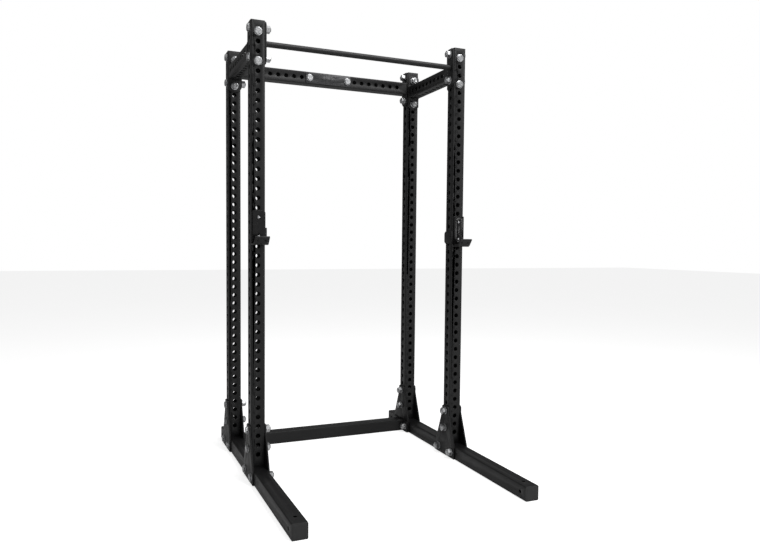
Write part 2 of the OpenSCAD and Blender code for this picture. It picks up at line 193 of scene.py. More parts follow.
def boolean(piece: bpy.types.Object, tool: bpy.types.Object, operation: str) -> None:
    """Combine a piece with a tool solid, and throw the tool away.

    Args:
        piece: The mesh object that is changed.
        tool: The mesh object that cuts it, joins it or bounds it.
        operation: DIFFERENCE, UNION or INTERSECT.
    """
    apply_modifier(piece, "BOOLEAN", object=tool, operation=operation, solver="MANIFOLD")
    bpy.data.objects.remove(tool)


def smooth(piece: bpy.types.Object, angle: float = 35.0) -> None:
    """Shade a piece smooth wherever its faces meet at less than an angle in degrees."""
    activate(piece)
    bpy.ops.object.shade_smooth_by_angle(angle=math.radians(angle))


def soften(piece: bpy.types.Object, width: float, segments: int = 2, clamp: bool = False) -> None:
    """Round every sharp edge of a piece by a little, and shade it.

    Args:
        piece: The mesh object.
        width: Width of the rounding.
        segments: Facets across the rounding.
        clamp: Whether short edges hold the width back.
    """
    apply_modifier(
        piece,
        "BEVEL",
        width=width,
        segments=segments,
        limit_method="ANGLE",
        angle_limit=math.radians(SHARP),
        use_clamp_overlap=clamp,
        miter_outer="MITER_ARC" if segments > 2 else "MITER_SHARP",
    )
    smooth(piece)


def merged_copy(node: str, name: str) -> bpy.types.Object:
    """Copy a CAD node as one connected mesh with whole flat faces.

    Args:
        node: Name of the CAD node.
        name: Name of the new piece.

    Returns:
        The new piece, at the origin with its place in its mesh.
    """
    mesh = frame["nodes"][node].data.copy()
    mesh.materials.clear()
    if "custom_normal" in mesh.attributes:
        mesh.attributes.remove(mesh.attributes["custom_normal"])
    piece = bpy.data.objects.new(name, mesh)
    bpy.context.scene.collection.objects.link(piece)
    with editing(piece):
        bpy.ops.mesh.select_all(action="SELECT")
        bpy.ops.mesh.remove_doubles(threshold=WELD_LIMIT)
        bpy.ops.mesh.dissolve_limited(angle_limit=FLAT_LIMIT)
    return piece


def copy_of(master: bpy.types.Object, place: Matrix) -> bpy.types.Object:
    """Copy a modelled shape with a mesh of its own, and put it at its place.

    Args:
        master: The modelled shape.
        place: Where its local frame goes.

    Returns:
        The copy, at the origin with its place in its mesh.
    """
    mesh = master.data.copy()
    mesh.transform(place)
    piece = bpy.data.objects.new(master.name, mesh)
    bpy.context.scene.collection.objects.link(piece)
    return piece


def join(parts: list[bpy.types.Object], name: str) -> bpy.types.Object:
    """Join several objects into one.

    Args:
        parts: The mesh objects to join.
        name: Name of the joined piece.

    Returns:
        The joined piece.
    """
    activate(parts[0])
    for part in parts:
        part.select_set(True)
    if len(parts) > 1:
        bpy.ops.object.join()
    parts[0].name = name
    return parts[0]


def turned(
    name: str, outline: list[tuple[float, float]], ring: bool = False, steps: int = 48
) -> bpy.types.Object:
    """Turn a solid of revolution about Z, as on a lathe.

    Args:
        name: Name of the solid.
        outline: Its outline as (radius, height) points. It starts and ends on the axis.
        ring: Whether the outline closes on itself, clear of the axis.
        steps: Facets round the solid.

    Returns:
        The turned solid, at the origin.
    """
    bpy.ops.mesh.primitive_plane_add(size=MM)
    piece = bpy.context.object
    piece.name = name
    points = outline + outline[:1] if ring else outline
    with editing(piece):
        bpy.ops.mesh.select_all(action="SELECT")
        bpy.ops.mesh.merge(type="CENTER")
        bpy.ops.transform.translate(value=(points[0][0], 0, points[0][1]))
        for (r0, z0), (r1, z1) in zip(points, points[1:]):
            bpy.ops.mesh.extrude_region_move(TRANSFORM_OT_translate={"value": (r1 - r0, 0, z1 - z0)})
        bpy.ops.mesh.select_all(action="SELECT")
        bpy.ops.mesh.spin(steps=steps, angle=math.tau, center=(0, 0, 0), axis=(0, 0, 1))
        bpy.ops.mesh.select_all(action="SELECT")
        bpy.ops.mesh.remove_doubles(threshold=WELD_LIMIT)
        bpy.ops.mesh.normals_make_consistent(inside=False)
    return piece


def hex_blank(name: str, flats: float, low: float, high: float) -> bpy.types.Object:
    """Plain hexagonal prism about Z between two heights, with its flats a given way apart.

    Args:
        name: Name of the prism.
        flats: Width across its flats.
        low: Height of its lower face.
        high: Height of its upper face.

    Returns:
        The prism.
    """
    corner = flats / 2 / math.cos(HEX_HALF)
    bpy.ops.mesh.primitive_cylinder_add(
        vertices=6, radius=corner, depth=high - low, location=(0, 0, (low + high) / 2)
    )
    piece = bpy.context.object
    piece.name = name
    activate(piece)
    bpy.ops.object.transform_apply()
    return piece


# ------------------------------------------------------------------ finishes


class Graph:
    """Adds and links the shader nodes of one material."""

    def __init__(self, name: str) -> None:
        """Start a material.

        Args:
            name: The material's name.
        """
        self.material = bpy.data.materials.new(name)
        self.material.use_nodes = True
        self.tree = self.material.node_tree
        self.shader = self.tree.nodes["Principled BSDF"]
        self.place = self.tree.nodes.new("ShaderNodeTexCoord").outputs["Object"]

    def add(self, kind: str, values: dict[str, object], output: int | str = 0) -> bpy.types.NodeSocket:
        """Add a node.

        Args:
            kind: The node's type.
            values: Its inputs by name, each a number, a colour or another node's output.
            output: Which of its outputs to return.

        Returns:
            The chosen output.
        """
        node = self.tree.nodes.new(kind)
        for name, value in values.items():
            self.feed(node.inputs[name], value)
        return node.outputs[output]

    def feed(self, socket: bpy.types.NodeSocket, value: object) -> None:
        """Set a socket to a value, or link it to another node's output.

        Args:
            socket: The input socket.
            value: A number, a colour or another node's output.
        """
        if isinstance(value, bpy.types.NodeSocket):
            self.tree.links.new(value, socket)
        else:
            socket.default_value = value

    def stretched(self, scale: tuple[float, float, float]) -> bpy.types.NodeSocket:
        """Object coordinates scaled by a different amount along each axis."""
        return self.add("ShaderNodeMapping", {"Vector": self.place, "Scale": scale})

    def noise(
        self, scale: float, detail: float = 2.0, place: bpy.types.NodeSocket | None = None
    ) -> bpy.types.NodeSocket:
        """Noise between 0 and 1.

        Args:
            scale: Features for each metre.
            detail: Number of finer layers.
            place: Coordinates to use in place of the plain object ones.

        Returns:
            The noise's factor output.
        """
        values = {"Vector": place or self.place, "Scale": scale, "Detail": detail}
        return self.add("ShaderNodeTexNoise", values)

    def remap(
        self, value: bpy.types.NodeSocket, span: tuple[float, float], to: tuple[float, float]
    ) -> bpy.types.NodeSocket:
        """Stretch the part of a value inside a span over another range, and clamp the rest.

        Args:
            value: The value to stretch.
            span: The lowest and highest input.
            to: The outputs for those two inputs.

        Returns:
            The stretched value.
        """
        ends = {"From Min": span[0], "From Max": span[1], "To Min": to[0], "To Max": to[1]}
        return self.add("ShaderNodeMapRange", {"Value": value, **ends})

    def ramp(
        self, value: bpy.types.NodeSocket, stops: list[tuple[float, tuple[float, float, float]]]
    ) -> bpy.types.NodeSocket:
        """Colour ramp.

        Args:
            value: What drives the ramp.
            stops: Two or more (position, colour) pairs.

        Returns:
            The ramp's colour output.
        """
        node = self.tree.nodes.new("ShaderNodeValToRGB")
        self.tree.links.new(value, node.inputs["Fac"])
        elements = node.color_ramp.elements
        while len(elements) < len(stops):
            elements.new(0.5)
        for element, (position, colour) in zip(elements, stops):
            element.position = position
            element.color = (*colour, 1)
        return node.outputs["Color"]

    def bumps(self, layers: list[tuple[bpy.types.NodeSocket, float, float]]) -> None:
        """Stack bump layers on the shader.

        Args:
            layers: (height, strength, depth) of each layer, the coarsest first.
        """
        normal = None
        for height, strength, depth in layers:
            values = {"Height": height, "Strength": strength, "Distance": depth}
            if normal is not None:
                values["Normal"] = normal
            normal = self.add("ShaderNodeBump", values)
        self.tree.links.new(normal, self.shader.inputs["Normal"])


@dataclass(frozen=True)
class PowderCoat:
    """Satin black powder coat with a fine grain and a soft orange peel."""

    slot: Slot = Slot.COAT
    deep: tuple[float, float, float] = (0.005, 0.005, 0.0054)
    pale: tuple[float, float, float] = (0.009, 0.009, 0.0094)
    scuffed: tuple[float, float, float] = (0.025, 0.025, 0.025)
    shine: float = 0.34

    def build(self) -> bpy.types.Material:
        """Build the material.

        Returns:
            The finished material.
        """
        graph = Graph(self.slot.value)
        cloud = graph.noise(9, 5)
        grain = graph.noise(1500, 2)
        peel = graph.noise(330, 1)
        scuff = graph.noise(34, 8, graph.stretched((1, 1, 0.35)))
        tone = graph.ramp(cloud, [(0.35, self.deep), (0.7, self.pale)])
        wear = graph.remap(scuff, (0.63, 0.78), (0, 0.5))
        mixed = graph.tree.nodes.new("ShaderNodeMix")
        mixed.data_type = "RGBA"
        graph.feed(mixed.inputs[0], wear)
        graph.feed(mixed.inputs[6], tone)
        mixed.inputs[7].default_value = (*self.scuffed, 1)
        graph.feed(graph.shader.inputs["Base Color"], mixed.outputs[2])
        graph.feed(graph.shader.inputs["Roughness"], graph.remap(cloud, (0.3, 0.7), (0.4, 0.52)))
        graph.shader.inputs["Specular IOR Level"].default_value = self.shine
        graph.bumps([(peel, 0.25, 0.1 * MM), (grain, 0.35, 0.06 * MM)])
        return graph.material


@dataclass(frozen=True)
class ZincPlate:
    """Bright zinc plate with faint clouding and rub marks."""

    slot: Slot = Slot.ZINC
    dull: tuple[float, float, float] = (0.3, 0.305, 0.315)
    bright: tuple[float, float, float] = (0.58, 0.585, 0.59)

    def build(self) -> bpy.types.Material:
        """Build the material.

        Returns:
            The finished material.
        """
        graph = Graph(self.slot.value)
        cloud = graph.noise(120, 4)
        rub = graph.noise(900, 3)
        tone = graph.ramp(cloud, [(0.3, self.dull), (0.65, self.bright)])
        graph.feed(graph.shader.inputs["Base Color"], tone)
        graph.shader.inputs["Metallic"].default_value = 1.0
        graph.feed(graph.shader.inputs["Roughness"], graph.remap(rub, (0.3, 0.7), (0.28, 0.46)))
        graph.bumps([(cloud, 0.12, 0.1 * MM), (rub, 0.15, 0.03 * MM)])
        return graph.material


@dataclass(frozen=True)
class MouldedPlastic:
    """Black moulded plastic with a spark-eroded grain."""

    slot: Slot = Slot.CAP
    deep: tuple[float, float, float] = (0.01, 0.01, 0.0105)
    pale: tuple[float, float, float] = (0.018, 0.018, 0.0185)

    def build(self) -> bpy.types.Material:
        """Build the material.

        Returns:
            The finished material.
        """
        graph = Graph(self.slot.value)
        cloud = graph.noise(40, 3)
        grain = graph.noise(2200, 1)
        tone = graph.ramp(cloud, [(0.3, self.deep), (0.7, self.pale)])
        graph.feed(graph.shader.inputs["Base Color"], tone)
        graph.feed(graph.shader.inputs["Roughness"], graph.remap(cloud, (0.3, 0.7), (0.5, 0.62)))
        graph.bumps([(grain, 0.4, 0.05 * MM)])
        return graph.material


@dataclass(frozen=True)
class CutSheet:
    """Black polyethylene sheet, with the long shallow marks of its cutter."""

    slot: Slot = Slot.LINER
    deep: tuple[float, float, float] = (0.003, 0.003, 0.0032)
    pale: tuple[float, float, float] = (0.008, 0.008, 0.0085)
    shine: float = 0.22

    def build(self) -> bpy.types.Material:
        """Build the material.

        Returns:
            The finished material.
        """
        graph = Graph(self.slot.value)
        marks = graph.noise(700, 3, graph.stretched((1, 1, 0.06)))
        cloud = graph.noise(60, 3)
        tone = graph.ramp(cloud, [(0.35, self.deep), (0.7, self.pale)])
        graph.feed(graph.shader.inputs["Base Color"], tone)
        graph.feed(graph.shader.inputs["Roughness"], graph.remap(marks, (0.3, 0.7), (0.14, 0.26)))
        graph.shader.inputs["Specular IOR Level"].default_value = self.shine
        graph.bumps([(marks, 0.25, 0.05 * MM)])
        return graph.material


@dataclass(frozen=True)
class BrushedPlate:
    """Brushed steel under a dark tinted lacquer."""

    slot: Slot = Slot.PLATE
    deep: tuple[float, float, float] = (0.02, 0.02, 0.021)
    pale: tuple[float, float, float] = (0.07, 0.07, 0.072)

    def build(self) -> bpy.types.Material:
        """Build the material.

        Returns:
            The finished material.
        """
        graph = Graph(self.slot.value)
        lines = graph.noise(900, 4, graph.stretched((0.02, 1, 1)))
        tone = graph.ramp(lines, [(0.3, self.deep), (0.7, self.pale)])
        graph.feed(graph.shader.inputs["Base Color"], tone)
        graph.shader.inputs["Metallic"].default_value = 0.6
        graph.feed(graph.shader.inputs["Roughness"], graph.remap(lines, (0.3, 0.7), (0.3, 0.48)))
        graph.bumps([(lines, 0.3, 0.04 * MM)])
        return graph.material


class Finishes:
    """Builds each finish once and puts it on pieces."""

    def __init__(self) -> None:
        """Build all materials."""
        kinds = (PowderCoat(), ZincPlate(), MouldedPlastic(), CutSheet(), BrushedPlate())
        self.materials = {kind.slot: kind.build() for kind in kinds}

    def dress(self, piece: bpy.types.Object, slot: Slot, body: str, *nodes: str) -> None:
        """Give a new piece its finish and its body, and hide the CAD nodes that it stands for.

        Args:
            piece: The finished piece.
            slot: The material slot of its finish.
            body: The body that it moves with.
            nodes: The CAD nodes that it replaces.
        """
        piece.data.materials.clear()
        piece.data.materials.append(self.materials[slot])
        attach(piece, body)
        if nodes:
            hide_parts(*nodes)
        LOG.info("%s: %d faces on %s", piece.name, len(piece.data.polygons), body)

    def paint_node(self, node: str, slot: Slot) -> None:
        """Put a finish on a CAD node that stays in view."""
        for place in frame["nodes"][node].material_slots:
            place.material = self.materials[slot]
        LOG.info("%s: CAD node kept", node)


# ------------------------------------------------------------------ tubes and plates


@dataclass
class HoleNumbers:
    """Numbers cut through the front wall of an upright, one below each front hole."""

    first_hole: float = 57.5 * MM
    count: int = 45
    from_centre: float = -22.5 * MM
    height: float = 12.5 * MM
    width: float = 6 * MM
    stroke: float = 2.4 * MM
    gap: float = 0.6 * MM
    spacing: float = 9.4 * MM
    depth: float = 8 * MM
    strokes: tuple[str, ...] = (
        "abcdef", "bc", "abged", "abgcd", "fgbc", "afgcd", "afgedc", "abc", "abcdefg", "abcdfg",
    )

    def stroke_places(self) -> dict[str, tuple[float, float, bool]]:
        """Where each stroke of a digit lies, as (x, z, upright) by its letter.

        Returns:
            The places by letter.
        """
        x = self.width / 2
        z = self.height / 2
        return {
            "a": (0, z, False),
            "b": (x, z / 2, True),
            "c": (x, -z / 2, True),
            "d": (0, -z, False),
            "e": (-x, -z / 2, True),
            "f": (-x, z / 2, True),
            "g": (0, 0, False),
        }

    def slot_cutter(self, length: float) -> bpy.types.Object:
        """Cutter for one stroke: a flat-sided slot with pointed ends, along X and cut along Y.

        Args:
            length: Length of the stroke.

        Returns:
            The cutter, at the origin.
        """
        bpy.ops.mesh.primitive_cylinder_add(vertices=6, radius=self.stroke / 2, depth=self.depth)
        cutter = bpy.context.object
        cutter.rotation_euler = (math.pi / 2, 0, math.pi / 2)
        activate(cutter)
        bpy.ops.object.transform_apply()
        for end in (-1, 1):
            pick(cutter, Element.VERTEX, lambda at, e=end: at.x * e > self.stroke / 8)
            with editing(cutter):
                bpy.ops.transform.translate(value=(end * (length - self.stroke) / 2, 0, 0))
        return cutter

    def cutters(self, centre: Vector, top: float) -> bpy.types.Object:
        """Cutters for every number of one upright.

        Args:
            centre: Middle of the upright's front wall, at any height.
            top: Height of the upright's top.

        Returns:
            One object that holds all the cutters.
        """
        across = self.slot_cutter(self.width - self.gap)
        down = self.slot_cutter(self.height / 2 - self.gap)
        down.data.transform(Matrix.Rotation(math.pi / 2, 4, "Y"))
        parts = []
        for number in range(1, self.count + 1):
            digits = str(number)
            z = top - self.first_hole - (self.count - number + 0.5) * PITCH
            for n, digit in enumerate(digits):
                x = centre.x + self.from_centre + (n - (len(digits) - 1) / 2) * self.spacing
                for letter in self.strokes[int(digit)]:
                    dx, dz, upright = self.stroke_places()[letter]
                    master = down if upright else across
                    parts.append(copy_of(master, Matrix.Translation((x + dx, centre.y, z + dz))))
        for master in (across, down):
            bpy.data.objects.remove(master)
        return join(parts, "number_cutters")


@dataclass
class Uprights:
    """The four drilled uprights with their numbered front holes and their top caps."""

    finishes: Finishes
    numbers: HoleNumbers = field(default_factory=HoleNumbers)
    edge: float = 0.5 * MM
    cap_edge: float = 0.5 * MM
    cap_rim: float = 5 * MM
    cap_dish: float = 1.2 * MM

    def build(self) -> None:
        """Build every upright and cap."""
        for corner in ("front_left", "front_right", "rear_left", "rear_right"):
            self.build_upright(corner)
            self.build_cap(corner)

    def build_upright(self, corner: str) -> None:
        """Build one upright.

        Args:
            corner: Which corner of the cage it stands on, as in its CAD name.
        """
        node = f"{corner}_upright"
        low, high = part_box(node)
        cap_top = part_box(f"{corner}_top_cap")[1].z
        piece = merged_copy(node, f"{node}_tube")
        soften(piece, self.edge)
        apply_modifier(piece, "TRIANGULATE")
        wall = Vector(((low.x + high.x) / 2, low.y, 0))
        boolean(piece, self.numbers.cutters(wall, cap_top), "DIFFERENCE")
        smooth(piece)
        self.finishes.dress(piece, Slot.COAT, CAGE, node)

    def build_cap(self, corner: str) -> None:
        """Build one top cap, with a shallow dish inside a raised rim.

        Args:
            corner: Which corner of the cage it is on, as in its CAD name.
        """
        node = f"{corner}_top_cap"
        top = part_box(node)[1].z
        piece = merged_copy(node, f"{node}_moulding")
        pick(piece, Element.FACE, lambda at, normal: normal.z > FACING and abs(at.z - top) < self.edge)
        with editing(piece, Element.FACE):
            bpy.ops.mesh.inset(thickness=self.cap_rim)
            bpy.ops.mesh.inset(thickness=self.cap_dish, depth=-self.cap_dish)
        soften(piece, self.cap_edge, clamp=True)
        self.finishes.dress(piece, Slot.CAP, CAGE, node)


@dataclass
class Base:
    """The two base tubes, their end caps and the gusset plates."""

    finishes: Finishes
    edge: float = 0.6 * MM
    plate_edge: float = 0.9 * MM
    cap_rim: float = 9 * MM
    cap_slope: float = 2.4 * MM

    def build(self) -> None:
        """Build the base pieces."""
        for side in Side:
            node = f"{side.word}_base_tube"
            piece = merged_copy(node, f"{node}_rail")
            soften(piece, self.edge)
            self.finishes.dress(piece, Slot.COAT, CAGE, node)
            self.build_foot_cap(side, "front", -1)
            self.build_foot_cap(side, "rear", 1)
            for row in ("front", "rear"):
                for face in ("outer", "inner"):
                    self.build_gusset(f"{row}_{side.word}_{face}_gusset")

    def build_foot_cap(self, side: Side, row: str, end: int) -> None:
        """Build a foot cap: a flat square panel inside a rim that slopes back to the tube.

        Args:
            side: The base tube's side.
            row: Front or rear, as in the CAD name.
            end: The sign of Y that the cap faces.
        """
        node = f"{side.word}_{row}_foot_cap"
        low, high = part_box(node)
        face_y = high.y if end > 0 else low.y
        piece = merged_copy(node, f"{node}_moulding")
        pick(
            piece,
            Element.FACE,
            lambda at, normal: normal.y * end > FACING and abs(at.y - face_y) < self.edge,
        )
        shrink = 1 - 2 * self.cap_rim / TUBE
        centre = (low + high) / 2
        with editing(piece, Element.FACE):
            bpy.ops.transform.translate(value=(0, -end * self.cap_slope, 0))
            bpy.ops.mesh.extrude_region_move(TRANSFORM_OT_translate={"value": (0, end * self.cap_slope, 0)})
            bpy.ops.transform.resize(value=(shrink, 1, shrink), center_override=centre)
        smooth(piece, 10)
        self.finishes.dress(piece, Slot.CAP, CAGE, node)

    def build_gusset(self, node: str) -> None:
        """Build one gusset plate with eased edges."""
        piece = merged_copy(node, f"{node}_plate")
        soften(piece, self.plate_edge)
        self.finishes.dress(piece, Slot.COAT, CAGE, node)


@dataclass
class WeldBeads:
    """Rippled weld beads where a tube or a bar meets its flanges."""

    radius: float = 3.2 * MM
    ripple: float = 1.5 * MM
    dip: float = 0.8
    corner: float = 6 * MM
    corner_steps: int = 3
    sides: int = 3

    def bead(self, points: list[Vector], closed: bool) -> bpy.types.Object:
        """Lay one bead.

        Args:
            points: The line that it follows, one point for each half ripple.
            closed: Whether the line joins up with its start.

        Returns:
            The bead as a mesh object.
        """
        curve = bpy.data.curves.new("bead", "CURVE")
        curve.dimensions = "3D"
        curve.bevel_depth = self.radius
        curve.bevel_resolution = self.sides
        curve.use_fill_caps = True
        spline = curve.splines.new("POLY")
        spline.points.add(len(points) - 1)
        for n, (target, point) in enumerate(zip(spline.points, points)):
            target.co = (*point, 1)
            target.radius = self.dip if n % 2 else 1.0
        spline.use_cyclic_u = closed
        bead = bpy.data.objects.new("bead", curve)
        bpy.context.scene.collection.objects.link(bead)
        activate(bead)
        bpy.ops.object.convert(target="MESH")
        with editing(bpy.context.object):
            bpy.ops.mesh.select_all(action="SELECT")
            bpy.ops.mesh.remove_doubles(threshold=WELD_LIMIT)
        return bpy.context.object

    def walk(self, corners: list[Vector], closed: bool) -> list[Vector]:
        """Points one half ripple apart along a line of straight runs.

        Args:
            corners: Ends of the straight runs, in order.
            closed: Whether the last run leads back to the start.

        Returns:
            The points. A closed line has an even number of them.
        """
        runs = list(zip(corners, corners[1:] + corners[:1]))
        if not closed:
            runs = runs[:-1]
        points = []
        for start, end in runs:
            steps = max(1, round((end - start).length / self.ripple))
            points += [start.lerp(end, n / steps) for n in range(steps)]
        if not closed:
            points.append(corners[-1])
        return points[: len(points) // 2 * 2] if closed else points

    def round_tube(self, centre: Vector, along: Vector, half: float) -> bpy.types.Object:
        """Bead round a square tube.

        Args:
            centre: Where the tube's axis meets the flange's face.
            along: The tube's direction.
            half: Half the tube's width.

        Returns:
            The bead.
        """
        across = along.cross(Vector((0, 0, 1)))
        up = Vector((0, 0, 1))
        corners = []
        for quarter in range(4):
            for step in range(self.corner_steps + 1):
                turn = (quarter + step / self.corner_steps) * math.pi / 2
                sign_x = 1 if quarter in (0, 3) else -1
                sign_z = 1 if quarter in (0, 1) else -1
                x = sign_x * (half - self.corner) + self.corner * math.cos(turn)
                z = sign_z * (half - self.corner) + self.corner * math.sin(turn)
                corners.append(centre + across * x + up * z)
        return self.bead(self.walk(corners, True), True)

    def round_bar(self, centre: Vector, half: float) -> bpy.types.Object:
        """Bead round a bar that lies along X.

        Args:
            centre: Where the bar's axis meets the flange's face.
            half: Half the bar's diameter.

        Returns:
            The bead.
        """
        steps = 2 * round(math.pi * half / self.ripple)
        turns = [math.tau * n / steps for n in range(steps)]
        points = [centre + Vector((0, half * math.cos(turn), half * math.sin(turn))) for turn in turns]
        return self.bead(points, True)

    def straight(self, start: Vector, end: Vector) -> bpy.types.Object:
        """Straight bead between two points."""
        return self.bead(self.walk([start, end], False), False)


@dataclass
class Crossmembers:
    """The welded members that join the uprights, and the pull-up bar."""

    finishes: Finishes
    beads: WeldBeads = field(default_factory=WeldBeads)
    edge: float = 0.6 * MM
    flange: float = 8 * MM
    bar: float = 30 * MM
    weld_margin: float = 8 * MM

    def build(self) -> None:
        """Build every member."""
        self.build_member("rear_top_crossmember", self.tube_welds)
        self.build_member("left_top_crossmember", self.tube_welds)
        self.build_member("right_top_crossmember", self.tube_welds)
        self.build_member("rear_base_crossmember", self.base_welds)
        self.build_member("pull_up_bar", self.bar_welds)

    def build_member(self, node: str, welds: Callable[[Vector, Vector], list[bpy.types.Object]]) -> None:
        """Build one member and its weld beads.

        Args:
            node: Name of the CAD node.
            welds: Lays the beads, given the node's box.
        """
        piece = merged_copy(node, f"{node}_steel")
        soften(piece, self.edge)
        self.finishes.dress(piece, Slot.COAT, CAGE, node)
        welded = join(welds(*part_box(node)), f"{node}_welds")
        smooth(welded, 60)
        self.finishes.dress(welded, Slot.COAT, CAGE)

    def tube_welds(self, low: Vector, high: Vector) -> list[bpy.types.Object]:
        """Beads round both ends of a square tube.

        Args:
            low: Lowest corner of the member's box.
            high: Highest corner of the box.

        Returns:
            The beads.
        """
        middle = (low + high) / 2
        size = high - low
        along = Vector((1, 0, 0)) if size.x > size.y else Vector((0, 1, 0))
        reach = max(size.x, size.y) / 2 - self.flange
        return [self.beads.round_tube(middle + along * end * reach, along, TUBE / 2) for end in (-1, 1)]

    def bar_welds(self, low: Vector, high: Vector) -> list[bpy.types.Object]:
        """Beads round both ends of the pull-up bar.

        Args:
            low: Lowest corner of the bar's box.
            high: Highest corner of the box.

        Returns:
            The beads.
        """
        middle = (low + high) / 2
        reach = (high.x - low.x) / 2 - self.flange
        return [
            self.beads.round_bar(middle + Vector((end * reach, 0, 0)), self.bar / 2) for end in (-1, 1)
        ]

    def base_welds(self, low: Vector, high: Vector) -> list[bpy.types.Object]:
        """Straight beads up the front and the rear of the base crossmember's two ends.

        Args:
            low: Lowest corner of the member's box.
            high: Highest corner of the box.

        Returns:
            The beads.
        """
        middle = (low + high) / 2
        reach = (high.x - low.x) / 2 - self.flange
        beads = []
        for end in (-1, 1):
            for face in (-1, 1):
                foot = Vector((end * reach, middle.y + face * TUBE / 2, low.z + self.weld_margin))
                head = Vector((foot.x, foot.y, high.z - self.weld_margin))
                beads.append(self.beads.straight(foot, head))
        return beads


@dataclass
class NamePlate:
    """The plate with a plain raised barbell on the rear top crossmember."""

    finishes: Finishes
    edge: float = 0.4 * MM

    def build(self) -> None:
        """Build the plate."""
        piece = merged_copy("name_plate", "name_plate_relief")
        soften(piece, self.edge)
        self.finishes.dress(piece, Slot.PLATE, CAGE, "name_plate")


# ------------------------------------------------------------------ fasteners


@dataclass
class FastenerShop:
    """Turns and cuts one bolt, nut and washer of each size."""

    shank: float = 12 * MM
    flats: float = 36 * MM
    head: float = 9 * MM
    nut: float = 22 * MM
    washer: float = 22 * MM
    washer_bore: float = 12.5 * MM
    washer_t: float = 3 * MM
    thread_pitch: float = 3 * MM
    thread_depth: float = 1.3 * MM
    root_span: tuple[float, float] = (0.45, 0.6)
    thread_len: float = 36 * MM
    nut_bore: float = 12.1 * MM
    mouth_w: float = 1.4 * MM
    mouth_h: float = 1.2 * MM
    tip: float = 2.4 * MM
    face_ratio: float = 0.95
    edge: float = 0.6 * MM
    bolts: dict[int, bpy.types.Object] = field(default_factory=dict)

    def bolt_master(self, length: float) -> bpy.types.Object:
        """A bolt from z = 0 at its head's outer face, with its tip towards +Z.

        Args:
            length: Overall length.

        Returns:
            The bolt, kept for the next one of this length.
        """
        key = round(length / (0.1 * MM))
        if key in self.bolts:
            return self.bolts[key]
        wide = self.flats
        face = self.face_ratio * self.flats / 2
        rim = face - 2 * self.edge
        fall = (wide - face) * math.tan(HEX_HALF)
        crown = [(0, self.edge), (rim - self.edge, self.edge), (rim, 0), (face, 0)]
        crown += [(wide, fall), (wide, self.head), (0, self.head)]
        bolt = hex_blank(f"bolt_{key}", self.flats, 0, self.head)
        boolean(bolt, turned("crown", crown), "INTERSECT")
        outline = [(0, self.head - self.edge), (self.shank, self.head - self.edge)]
        z = length - self.thread_len
        root = self.shank - self.thread_depth
        while z < length - self.tip - self.thread_pitch:
            outline.append((self.shank, z))
            outline += [(root, z + self.thread_pitch * share) for share in self.root_span]
            z += self.thread_pitch
        outline += [(self.shank, z), (self.shank, length - self.tip), (self.shank - self.tip, length)]
        outline += [(self.shank - 2 * self.tip, length - self.edge), (0, length - self.edge)]
        boolean(bolt, turned("shank", outline), "UNION")
        smooth(bolt)
        self.bolts[key] = bolt
        return bolt

    def nut_master(self) -> bpy.types.Object:
        """A nut from z = 0 to its height, chamfered at both faces and countersunk at both mouths.

        Returns:
            The nut.
        """
        wide = self.flats
        face = self.face_ratio * self.flats / 2
        fall = (wide - face) * math.tan(HEX_HALF)
        mouth = self.nut_bore + self.mouth_w
        sink = self.mouth_h
        ring = [
            (self.nut_bore, sink), (mouth, 0), (face, 0), (wide, fall),
            (wide, self.nut - fall), (face, self.nut), (mouth, self.nut), (self.nut_bore, self.nut - sink),
        ]
        nut = hex_blank("nut", self.flats, 0, self.nut)
        boolean(nut, turned("nut_ring", ring, ring=True), "INTERSECT")
        smooth(nut)
        return nut

    def washer_master(self) -> bpy.types.Object:
        """A washer from z = 0 to its thickness, with eased edges.

        Returns:
            The washer.
        """
        e = self.edge
        ring = [
            (self.washer_bore, 0), (self.washer - e, 0), (self.washer, e), (self.washer, self.washer_t - e),
            (self.washer - e, self.washer_t), (self.washer_bore + e, self.washer_t),
            (self.washer_bore, self.washer_t - e),
        ]
        washer = turned("washer", ring, ring=True)
        smooth(washer, 50)
        return washer

    def clear(self) -> None:
        """Throw away the masters of the bolts."""
        for bolt in self.bolts.values():
            bpy.data.objects.remove(bolt)


